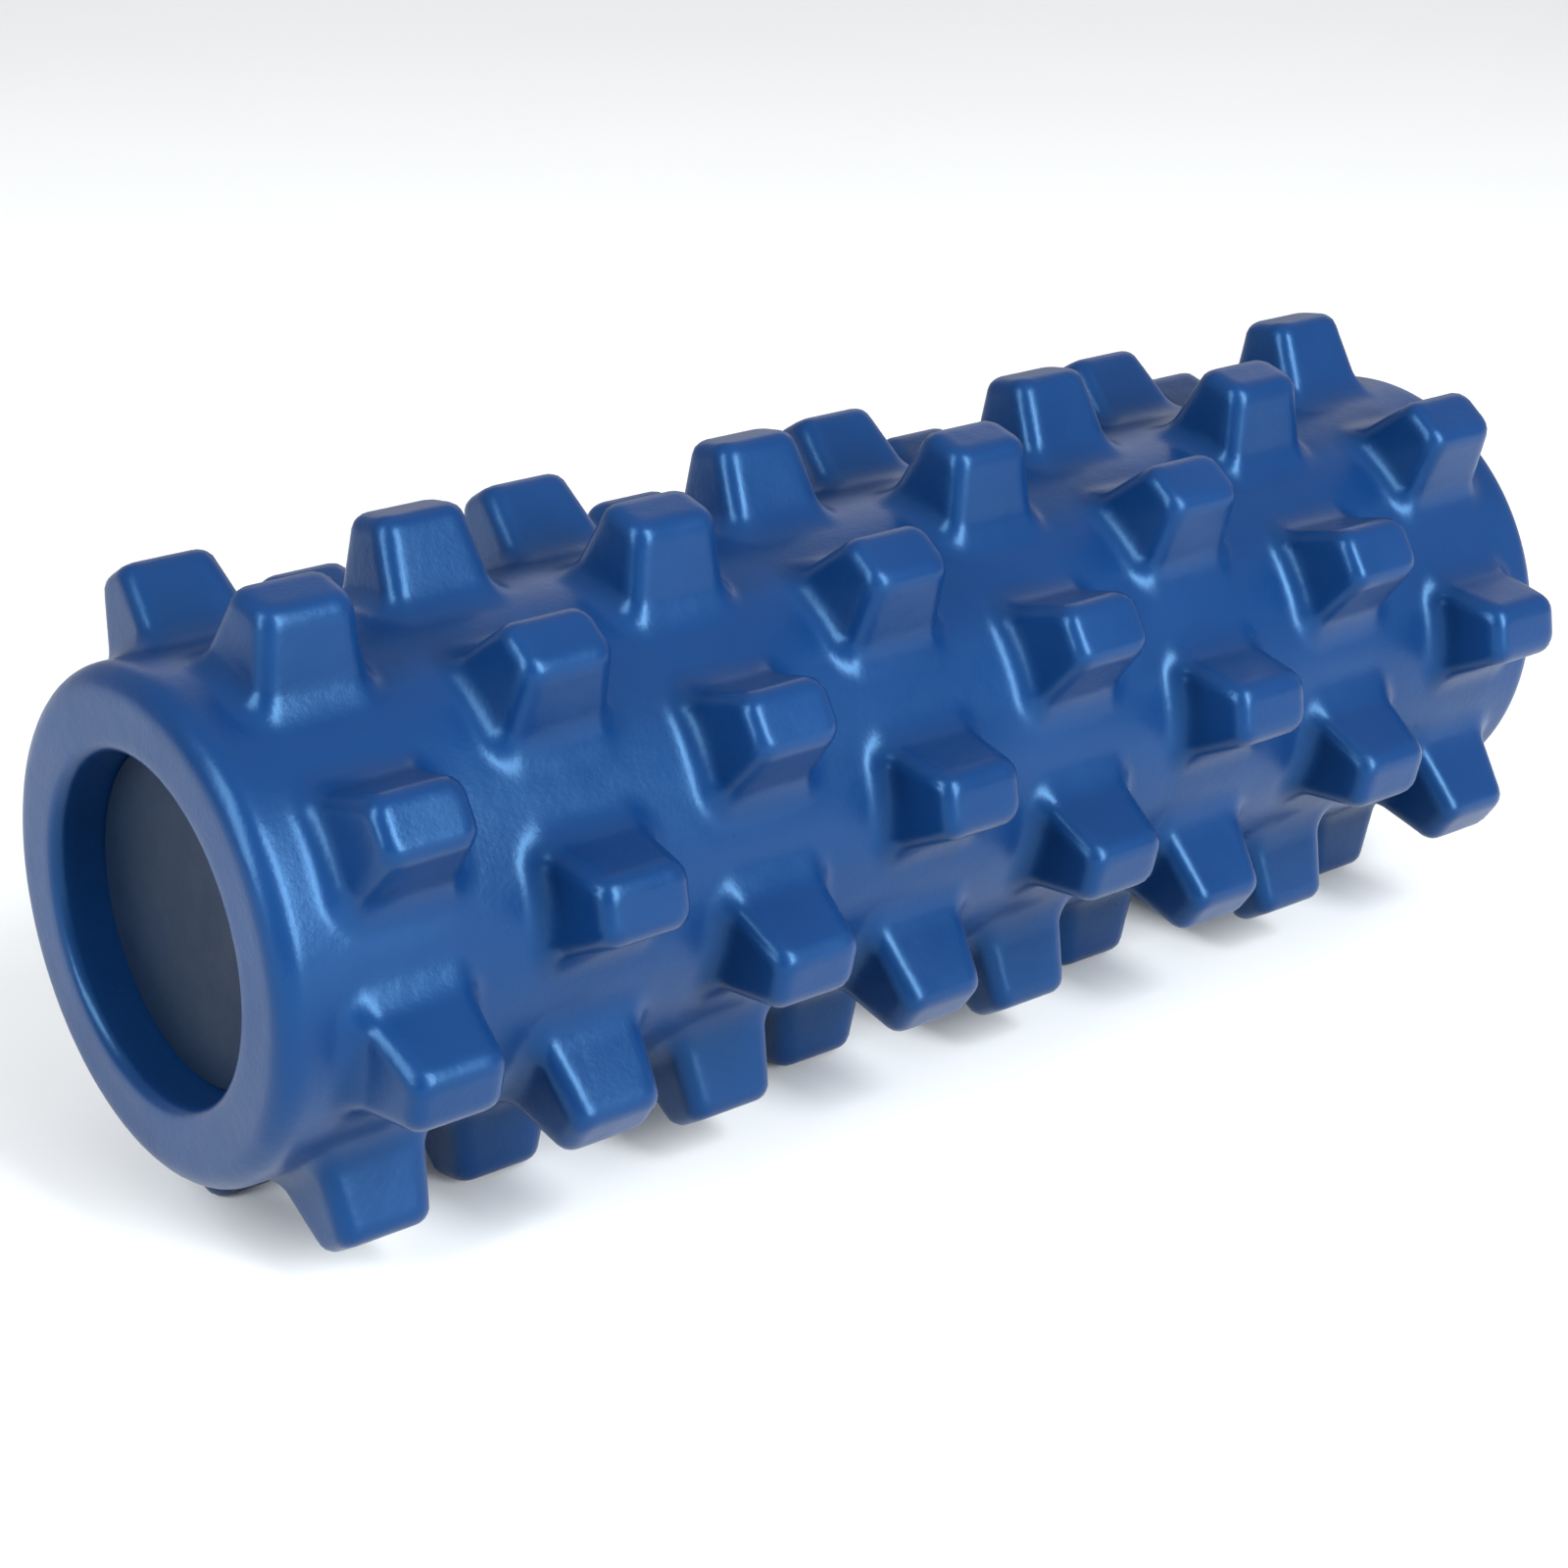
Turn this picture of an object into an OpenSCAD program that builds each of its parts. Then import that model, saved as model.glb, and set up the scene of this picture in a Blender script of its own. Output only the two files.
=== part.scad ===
// Knobbed foam roller, lying on its side.
// A moulded foam sleeve with staggered rows of knobs is bonded to a rigid tube,
// and a flat plug closes the tube at the bottom of the round recess in each end.
// Frame: the roller's axis is X, +Z is up, and the origin is the middle of the axis.
// The roller rests on two neighbouring rows of knobs, one each side of -Z.

/* [Sleeve] */
// Length of the foam sleeve
sleeve_len = 318; // [240:1:400]
// Diameter of the sleeve between the knobs
base_d = 95; // [88:0.5:120]
// Radius of the rounded outer rim at each end
rim_r = 5; // [2:0.5:8]

/* [Knobs] */
// Rows of knobs round the sleeve, an even number so that the stagger closes
row_count = 16; // [8:2:18]
// Knobs along each row
knobs_per_row = 4; // [2:1:4]
// Height of a knob's flat top above the sleeve
knob_h = 16; // [6:0.5:20]
// Distance from the sleeve's left end to the centre of the first knob
left_margin = 25; // [20:0.5:34]
// Distance from the sleeve's right end to the centre of the last knob
right_margin = 23.5; // [20:0.5:34]
// Length of a knob along the roller, at its foot
foot_len = 22.5; // [19:0.5:34]
// Length of a knob along the roller, at its top
top_len = 18.5; // [8:0.5:22]
// Width of a knob round the roller, at its foot
foot_wid = 21; // [16:0.5:28]
// Width of a knob round the roller, at its top
top_wid = 11.5; // [6:0.5:15]

/* [Core] */
// Outside diameter of the rigid tube that the foam is bonded to
tube_d = 60; // [50:0.5:62]
// Wall thickness of the tube
tube_wall = 3.5; // [2:0.5:6]

/* [End recess and plugs] */
// Diameter of the round recess in each end
recess_d = 64; // [63:0.5:70]
// Depth from the end face to the plug's face
recess_depth = 10; // [4:0.5:16]
// Thickness of the plug's disc
disc_t = 3; // [2:0.5:6]
// How far the plug's spigot reaches into the tube
spigot_len = 14; // [6:0.5:30]
// Wall thickness of the spigot
spigot_wall = 2.5; // [1.5:0.5:4]
// Chamfer round the edge of the plug's face
disc_chamfer = 0.8; // [0.4:0.1:1.5]

/* [Hidden] */
$fn = 96;

half_len = sleeve_len / 2;
base_r = base_d / 2;
tube_r = tube_d / 2;
recess_r = recess_d / 2;
// The tube stops where the plug's disc sits on it.
disc_back = half_len - recess_depth - disc_t;

row_step = 360 / row_count;
// Odd rows are the even rows slid half a pitch along the roller.
knob_pitch = (sleeve_len - left_margin - right_margin) / (knobs_per_row - 0.5);
// A knob starts below the sleeve's surface, so that its flat foot is buried all round.
knob_root = 4;

foam_blue = [0.13, 0.32, 0.60];
tube_grey = [0.55, 0.57, 0.60];
plug_charcoal = [0.13, 0.17, 0.25];

// Lays a shape that was drawn round Z along the roller's axis.
module along_axis() {
    rotate([0, 90, 0]) children();
}

// A quarter-round notch that leaves a rounded corner when it is cut away.
module corner_notch(r) {
    difference() {
        square(2 * r);
        circle(r);
    }
}

// Half section of the sleeve's wall, before the knobs are added: radius along X, axis along Y.
module wall_section() {
    difference() {
        translate([tube_r, -half_len]) square([base_r - tube_r, sleeve_len]);
        for (end = [0, 1]) {
            mirror([0, end]) {
                translate([base_r - rim_r, half_len - rim_r]) corner_notch(rim_r);
                translate([0, disc_back]) square([recess_r, recess_depth + disc_t + 1]);
            }
        }
    }
}

// Outline of a knob seen from one side: straight below its foot, and tapered above it.
module knob_outline(foot, top) {
    polygon([
        [-foot / 2, base_r - knob_root],
        [foot / 2, base_r - knob_root],
        [foot / 2, base_r],
        [top / 2, base_r + knob_h],
        [-top / 2, base_r + knob_h],
        [-foot / 2, base_r]
    ]);
}

// One knob, standing up from the sleeve towards +Z, with its centre at X = 0.
module knob() {
    intersection() {
        rotate([90, 0, 0])
            linear_extrude(foot_wid, center = true)
                knob_outline(foot_len, top_len);
        rotate([90, 0, 90])
            linear_extrude(foot_len, center = true)
                knob_outline(foot_wid, top_wid);
    }
}

// One row of knobs. Its first knob is left_margin from the left end, and more when it is staggered.
module knob_row(stagger) {
    first = -half_len + left_margin + stagger * knob_pitch / 2;
    for (k = [0 : knobs_per_row - 1]) {
        translate([first + k * knob_pitch, 0, 0]) knob();
    }
}

module foam_sleeve() {
    color(foam_blue) {
        along_axis() rotate_extrude() wall_section();
        for (i = [0 : row_count - 1]) {
            rotate([(i + 0.5) * row_step, 0, 0]) knob_row(i % 2);
        }
    }
}

module core_tube() {
    color(tube_grey) along_axis() difference() {
        cylinder(h = 2 * disc_back, r = tube_r, center = true);
        cylinder(h = 2 * disc_back + 2, r = tube_r - tube_wall, center = true);
    }
}

// A plug at the +X end: a flat disc with a hollow spigot behind it, turned as one piece.
module end_plug() {
    spigot_r = tube_r - tube_wall;
    disc_face = disc_back + disc_t;
    along_axis() rotate_extrude() polygon([
        [0, disc_back],
        [0, disc_face],
        [recess_r - disc_chamfer, disc_face],
        [recess_r, disc_face - disc_chamfer],
        [recess_r, disc_back],
        [spigot_r, disc_back],
        [spigot_r, disc_back - spigot_len],
        [spigot_r - spigot_wall, disc_back - spigot_len],
        [spigot_r - spigot_wall, disc_back]
    ]);
}

module end_plug_left() {
    color(plug_charcoal) mirror([1, 0, 0]) end_plug();
}

module end_plug_right() {
    color(plug_charcoal) end_plug();
}

foam_sleeve();
core_tube();
end_plug_left();
end_plug_right();
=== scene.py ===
"""Knobbed foam roller: one moulded foam skin round the CAD model's tube and end plugs."""

import math

import bpy
import numpy as np
from mathutils import Matrix, Vector


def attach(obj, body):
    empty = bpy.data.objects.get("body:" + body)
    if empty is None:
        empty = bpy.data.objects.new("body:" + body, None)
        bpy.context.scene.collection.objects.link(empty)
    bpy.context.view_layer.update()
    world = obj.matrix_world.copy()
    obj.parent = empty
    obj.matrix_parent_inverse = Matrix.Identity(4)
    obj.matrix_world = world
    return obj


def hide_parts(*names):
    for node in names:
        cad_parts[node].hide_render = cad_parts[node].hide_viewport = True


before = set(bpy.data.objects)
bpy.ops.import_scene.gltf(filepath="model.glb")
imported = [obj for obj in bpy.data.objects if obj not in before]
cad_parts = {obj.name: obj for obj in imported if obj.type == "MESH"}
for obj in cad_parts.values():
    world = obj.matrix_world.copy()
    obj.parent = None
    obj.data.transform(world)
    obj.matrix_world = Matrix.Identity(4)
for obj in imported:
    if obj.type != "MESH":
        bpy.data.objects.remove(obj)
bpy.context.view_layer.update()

# Sizes of the foam sleeve in millimetres, the same as the CAD model's.
HALF_LEN = 159.0
BASE_R = 47.5
RIM_R = 5.0
ROWS = 16
PER_ROW = 4
KNOB_H = 16.0
LEFT_MARGIN = 25.0
RIGHT_MARGIN = 23.5
FOOT_LEN, TOP_LEN = 22.5, 18.5
FOOT_WID, TOP_WID = 21.0, 11.5
TUBE_R = 30.0
RECESS_R = 32.0
RECESS_DEPTH = 10.0
DISC_T = 3.0

# Radii of the moulded edges in millimetres, which the CAD model leaves sharp.
CORNER_R = 3.5
TOP_EDGE_R = 2.5
FOOT_FILLET_R = 4.0
MOUTH_R = 2.5

PITCH = (2 * HALF_LEN - LEFT_MARGIN - RIGHT_MARGIN) / (PER_ROW - 0.5)
# Rows whose knobs stand side by side are two rows apart, in degrees.
APART = 720 / ROWS
# The first row is half a step past straight up. Angles run from +Y towards +Z.
FIRST_ROW = 90 + 180 / ROWS

# Length of a mesh face along the surface, in millimetres.
STEP = 1.2
# Samples used to measure the surface along the roller, and across one knob.
SAMPLES_ALONG = 6001
SAMPLES_AROUND = 1501
# Halvings used to find the surface. They leave an error far below a micrometre.
HALVINGS = 22
# The mesh's long lines bend from one row's knobs to the next row's between two knobs: where
# the bend starts and how long it is, as shares of half a pitch.
BEND_START, BEND_SPAN = 0.36, 0.28
# Points along each part of the end's profile.
RIM_POINTS, FACE_POINTS, MOUTH_POINTS, WALL_POINTS = 9, 6, 6, 6

# Colours are linear, and each material wanders between its two.
FOAM_BLUES = (0.0018, 0.0182, 0.074, 1), (0.003, 0.0228, 0.088, 1)
FOAM_SHEEN = (0.27, 0.6, 1.0, 1)
PLUG_CHARCOALS = (0.003, 0.008, 0.020, 1), (0.004, 0.010, 0.025, 1)
PLUG_SHEEN = (0.5, 0.7, 1.0, 1)
CORE_GREYS = (0.38, 0.39, 0.41, 1), (0.46, 0.47, 0.49, 1)
COOL_LIGHT = (0.92, 0.97, 1.0)
BACK_LIGHT = (1.0, 0.93, 0.96)
TOP_LIGHT = (1.0, 0.95, 0.97)
WORLD_BRIGHTNESS = 0.5

# Half the width of the square floor, in metres.
FLOOR_HALF = 6.0

# Camera: what it looks at and how far away it is in metres, its direction and roll in degrees,
# and its lens and sensor in millimetres.
TARGET = Vector((-0.0117, 0.0042, -0.0102))
DISTANCE = 0.6685
AZIMUTH, ELEVATION, ROLL = -39.8, 23.78, 2.08
LENS, SENSOR = 76.15, 36


def join(a, b, r):
    """Union of two distance fields with a fillet of radius r."""
    return np.maximum(r, np.minimum(a, b)) - np.hypot(
        np.maximum(r - a, 0), np.maximum(r - b, 0)
    )


def meet(a, b, r):
    """Intersection of two distance fields with its edge rounded to radius r."""
    return -join(-a, -b, r)


def knob_centre(k, stagger):
    """Place along X of knob k in a plain row (stagger 0) or a staggered one (stagger 1)."""
    return -HALF_LEN + LEFT_MARGIN + stagger * PITCH / 2 + k * PITCH


def distance(theta, x, r):
    """Roughly how far a point is outside the foam's outer surface."""
    end_taper = (FOOT_LEN - TOP_LEN) / 2 / KNOB_H
    side_taper = (FOOT_WID - TOP_WID) / 2 / KNOB_H
    surface = r - BASE_R
    for stagger in (0, 1):
        first = FIRST_ROW + stagger * APART / 2
        turn = np.radians(np.abs((theta - first + APART / 2) % APART - APART / 2))
        start = knob_centre(0, stagger)
        k = np.clip(np.round((x - start) / PITCH), 0, PER_ROW - 1)
        along = np.abs(x - start - k * PITCH)
        across = r * np.sin(turn)
        height = r * np.cos(turn) - BASE_R
        end = (along + end_taper * height - FOOT_LEN / 2) / math.hypot(1, end_taper)
        side = (across + side_taper * height - FOOT_WID / 2) / math.hypot(1, side_taper)
        knob = meet(meet(end, side, CORNER_R), height - KNOB_H, TOP_EDGE_R)
        surface = join(surface, knob, FOOT_FILLET_R)
    return surface


def sleeve_radius(theta, x):
    """Radius of the foam's outer surface, at an angle in degrees and a place along X."""
    low = np.full(np.broadcast(theta, x).shape, BASE_R - 0.5)
    high = low + KNOB_H + 2
    for _ in range(HALVINGS):
        mid = (low + high) / 2
        inside = distance(theta, x, mid) < 0
        low, high = np.where(inside, mid, low), np.where(inside, high, mid)
    return (low + high) / 2


def even_steps(t, dx, dy):
    """Values of t about STEP apart along a curve, from the curve's moves between the ts."""
    length = np.concatenate([[0], np.cumsum(np.hypot(dx, dy))])
    count = int(length[-1] / STEP) + 1
    return np.interp(np.linspace(0, length[-1], count), length, t)


def lines_along():
    """Places along X for the mesh's rings, closer together where a knob's flank is steep."""
    x = np.linspace(-HALF_LEN + RIM_R, HALF_LEN - RIM_R, SAMPLES_ALONG)
    rows = [FIRST_ROW + stagger * APART / 2 for stagger in (0, 1)]
    rise = sum(
        np.abs(np.gradient(sleeve_radius(np.full(x.shape, row), x))) for row in rows
    )
    return even_steps(x, np.diff(x), rise[1:])


def lines_around():
    """Angles across one knob and the space beside it, closer together on the flanks."""
    t = np.linspace(0, APART / 2, SAMPLES_AROUND)
    r = sleeve_radius(t + FIRST_ROW, np.full(t.shape, knob_centre(1, 0)))
    half = even_steps(t, np.diff(r), np.radians(np.diff(t)) * r[1:])
    return np.concatenate([half, APART - half[-2:0:-1]])


def ring_angles(xs):
    """The angle of each point of each ring. The lines follow whichever rows have a knob."""
    one = lines_around()
    n = len(one)
    even = np.concatenate([one + FIRST_ROW + i * APART for i in range(ROWS // 2)])
    odd = np.roll(even, n // 2) + APART / 2
    odd[: n // 2] -= 360
    # 0 at the knobs of the plain rows, and 1 at the knobs of the staggered rows.
    where = ((xs - knob_centre(0, 0)) / (PITCH / 2)) % 2
    where = np.where(where > 1, 2 - where, where)
    where = np.where(xs < knob_centre(0, 0), 0, where)
    where = np.where(xs > knob_centre(PER_ROW - 1, 1), 1, where)
    share = np.clip((where - BEND_START) / BEND_SPAN, 0, 1)
    share = (share * share * (3 - 2 * share))[:, None]
    return even[None] * (1 - share) + odd[None] * share


def arc(centre_x, centre_r, radius, start, stop, count):
    """Points of an arc as (place along X, distance from the axis), with angles from +X."""
    for a in np.radians(np.linspace(start, stop, count)):
        yield centre_x + radius * math.cos(a), centre_r + radius * math.sin(a)


def end_profile():
    """Half section of the +X end, from the outer rim to the back of the plug's seat."""
    back = HALF_LEN - RECESS_DEPTH - DISC_T
    rim = arc(HALF_LEN - RIM_R, BASE_R - RIM_R, RIM_R, 90, 0, RIM_POINTS)
    mouth = arc(HALF_LEN - MOUTH_R, RECESS_R + MOUTH_R, MOUTH_R, 0, -90, MOUTH_POINTS)
    face = np.linspace(BASE_R - RIM_R, RECESS_R + MOUTH_R, FACE_POINTS)[1:-1]
    wall = np.linspace(HALF_LEN - MOUTH_R, back, WALL_POINTS)[1:]
    return (
        list(rim)[1:]
        + [(HALF_LEN, r) for r in face]
        + list(mouth)
        + [(x, RECESS_R) for x in wall]
        + [(back, TUBE_R)]
    )


def sleeve_mesh():
    """The moulded foam as one closed skin: knobs, rims, end faces, recess walls and bore."""
    xs = lines_along()
    angles = ring_angles(xs)
    radii = sleeve_radius(angles, xs[:, None])
    ends = np.array(end_profile())
    n = angles.shape[1]

    def turned(points, sign, ring):
        x = sign * points[:, 0, None] + np.zeros(n)
        return np.stack([x, points[:, 1, None] + np.zeros(n), ring + np.zeros_like(x)], -1)

    outer = np.stack([xs[:, None] + np.zeros(n), radii, angles], -1)
    rings = np.concatenate(
        [turned(ends[::-1], -1, angles[0]), outer, turned(ends, 1, angles[-1])]
    )
    x, r, a = rings[..., 0], rings[..., 1], np.radians(rings[..., 2])
    metres = np.stack([x, r * np.cos(a), r * np.sin(a)], -1).reshape(-1, 3) / 1000
    # The last ring joins the first, which makes the bore.
    i, j = np.meshgrid(np.arange(len(rings)), np.arange(n), indexing="ij")
    i2, j2 = (i + 1) % len(rings), (j + 1) % n
    faces = np.stack([i * n + j, i * n + j2, i2 * n + j2, i2 * n + j], -1).reshape(-1, 4)
    mesh = bpy.data.meshes.new("foam_sleeve_moulded")
    mesh.from_pydata(metres.tolist(), [], faces.tolist())
    mesh.update()
    return mesh


def principled(name):
    """A new material with its node tree and its one shader."""
    mat = bpy.data.materials.new(name)
    mat.use_nodes = True
    nt = mat.node_tree
    nt.nodes.clear()
    out = nt.nodes.new("ShaderNodeOutputMaterial")
    bsdf = nt.nodes.new("ShaderNodeBsdfPrincipled")
    nt.links.new(bsdf.outputs[0], out.inputs[0])
    return mat, nt, bsdf


def noise(nt, scale, detail, roughness=0.5):
    """Noise fixed to the object, with about scale features in a metre."""
    coord = nt.nodes.new("ShaderNodeTexCoord")
    n = nt.nodes.new("ShaderNodeTexNoise")
    n.inputs["Scale"].default_value = scale
    n.inputs["Detail"].default_value = detail
    n.inputs["Roughness"].default_value = roughness
    nt.links.new(coord.outputs["Object"], n.inputs["Vector"])
    return n.outputs["Fac"]


def ramp(nt, fac, low, high):
    """Turns noise into a mix of two colours, each with a share of its own."""
    r = nt.nodes.new("ShaderNodeValToRGB")
    for element, position, colour in zip(r.color_ramp.elements, (0.3, 0.7), (low, high)):
        element.position = position
        element.color = colour
    nt.links.new(fac, r.inputs[0])
    return r.outputs[0]


def grey(v):
    return (v, v, v, 1)


def bump(nt, height, strength, distance, normal=None):
    """Relief of a distance in metres, on top of another relief if one is given."""
    b = nt.nodes.new("ShaderNodeBump")
    b.inputs["Strength"].default_value = strength
    b.inputs["Distance"].default_value = distance
    nt.links.new(height, b.inputs["Height"])
    if normal is not None:
        nt.links.new(normal, b.inputs["Normal"])
    return b.outputs[0]


def foam_material():
    """Satin moulded skin, with a fine grain and a slow unevenness."""
    mat, nt, bsdf = principled("foam_skin")
    colour = ramp(nt, noise(nt, 28, 3), *FOAM_BLUES)
    nt.links.new(colour, bsdf.inputs["Base Color"])
    rough = ramp(nt, noise(nt, 60, 4, 0.6), grey(0.27), grey(0.36))
    nt.links.new(rough, bsdf.inputs["Roughness"])
    grain = bump(nt, noise(nt, 900, 3, 0.6), strength=0.12, distance=0.0004)
    relief = bump(nt, noise(nt, 90, 2), strength=0.1, distance=0.002, normal=grain)
    nt.links.new(relief, bsdf.inputs["Normal"])
    bsdf.inputs["Specular IOR Level"].default_value = 0.42
    bsdf.inputs["Specular Tint"].default_value = FOAM_SHEEN
    return mat


def plug_material():
    """Matt, fine-grained plastic."""
    mat, nt, bsdf = principled("plug_plastic")
    colour = ramp(nt, noise(nt, 60, 3), *PLUG_CHARCOALS)
    nt.links.new(colour, bsdf.inputs["Base Color"])
    rough = ramp(nt, noise(nt, 120, 3), grey(0.5), grey(0.62))
    nt.links.new(rough, bsdf.inputs["Roughness"])
    grain = bump(nt, noise(nt, 1600, 2), strength=0.2, distance=0.0003)
    nt.links.new(grain, bsdf.inputs["Normal"])
    bsdf.inputs["Specular IOR Level"].default_value = 0.25
    bsdf.inputs["Specular Tint"].default_value = PLUG_SHEEN
    return mat


def core_material():
    """Extruded plastic, which only shows when the roller is taken apart."""
    mat, nt, bsdf = principled("core_plastic")
    colour = ramp(nt, noise(nt, 30, 3), *CORE_GREYS)
    nt.links.new(colour, bsdf.inputs["Base Color"])
    rough = ramp(nt, noise(nt, 80, 2), grey(0.45), grey(0.6))
    nt.links.new(rough, bsdf.inputs["Roughness"])
    return mat


def floor_material():
    """Plain pale floor."""
    mat, nt, bsdf = principled("floor_white")
    colour = ramp(nt, noise(nt, 2, 2), grey(0.69), grey(0.71))
    nt.links.new(colour, bsdf.inputs["Base Color"])
    bsdf.inputs["Roughness"].default_value = 0.9
    bsdf.inputs["Specular IOR Level"].default_value = 0.1
    return mat


def cover(obj, mat):
    """Makes a material the object's only one."""
    obj.data.materials.clear()
    obj.data.materials.append(mat)


def place(name, data):
    """Puts a mesh, a light or a camera into the scene."""
    obj = bpy.data.objects.new(name, data)
    bpy.context.scene.collection.objects.link(obj)
    return obj


def direction(azimuth, elevation):
    """Unit vector to a place in degrees, with azimuth 0 towards -Y and 90 towards +X."""
    a, e = math.radians(azimuth), math.radians(elevation)
    return Vector((math.sin(a) * math.cos(e), -math.cos(a) * math.cos(e), math.sin(e)))


def area_light(name, azimuth, elevation, distance, size, power, colour):
    """A soft light that looks at the origin."""
    back = direction(azimuth, elevation)
    light = bpy.data.lights.new(name, "AREA")
    light.shape = "RECTANGLE"
    light.size, light.size_y = size
    light.energy = power
    light.color = colour
    lamp = place(name, light)
    lamp.location = back * distance
    lamp.rotation_mode = "QUATERNION"
    lamp.rotation_quaternion = back.to_track_quat("Z", "Y")


# The roller
foam = place("foam_sleeve_moulded", sleeve_mesh())
foam.data.polygons.foreach_set("use_smooth", [True] * len(foam.data.polygons))
cover(foam, foam_material())
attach(foam, "root")
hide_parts("foam_sleeve")

plug_mat = plug_material()
for name in ("end_plug_left", "end_plug_right"):
    cover(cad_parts[name], plug_mat)
cover(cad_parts["core_tube"], core_material())

# The floor, at the height of the lowest knobs
lowest = min(v.co.z for v in foam.data.vertices)
corners = [(-1, -1), (1, -1), (1, 1), (-1, 1)]
floor_mesh = bpy.data.meshes.new("floor")
floor_mesh.from_pydata(
    [(FLOOR_HALF * x, FLOOR_HALF * y, lowest) for x, y in corners], [], [(0, 1, 2, 3)]
)
floor = place("floor", floor_mesh)
cover(floor, floor_material())

# A tall strip in front and another at the left make the two highlights on each edge. The
# other two fill in behind and above.
area_light("front", 8, 30, distance=1.6, size=(0.5, 1.5), power=64, colour=COOL_LIGHT)
area_light("side", -84, 30, distance=1.6, size=(0.5, 1.3), power=32, colour=COOL_LIGHT)
area_light("back", 140, 24, distance=1.8, size=(2.2, 0.7), power=3, colour=BACK_LIGHT)
area_light("top", 0, 89, distance=2.2, size=(2.8, 2.4), power=8, colour=TOP_LIGHT)

world = bpy.data.worlds.new("studio")
bpy.context.scene.world = world
world.use_nodes = True
background = world.node_tree.nodes["Background"]
background.inputs[0].default_value = grey(1)
background.inputs[1].default_value = WORLD_BRIGHTNESS

# Camera, from the left end's side and a little above
back = direction(AZIMUTH, ELEVATION)
a, roll = math.radians(AZIMUTH), math.radians(ROLL)
right = Vector((math.cos(a), math.sin(a), 0))
cam_right = right * math.cos(roll) + back.cross(right) * math.sin(roll)
cam_up = back.cross(cam_right)
cam = place("camera", bpy.data.cameras.new("camera"))
cam.matrix_world = Matrix.Translation(TARGET + back * DISTANCE) @ Matrix(
    (cam_right, cam_up, back)
).transposed().to_4x4()
cam.data.lens = LENS
cam.data.sensor_width = SENSOR
bpy.context.scene.camera = cam
bpy.context.scene.view_settings.view_transform = "Standard"
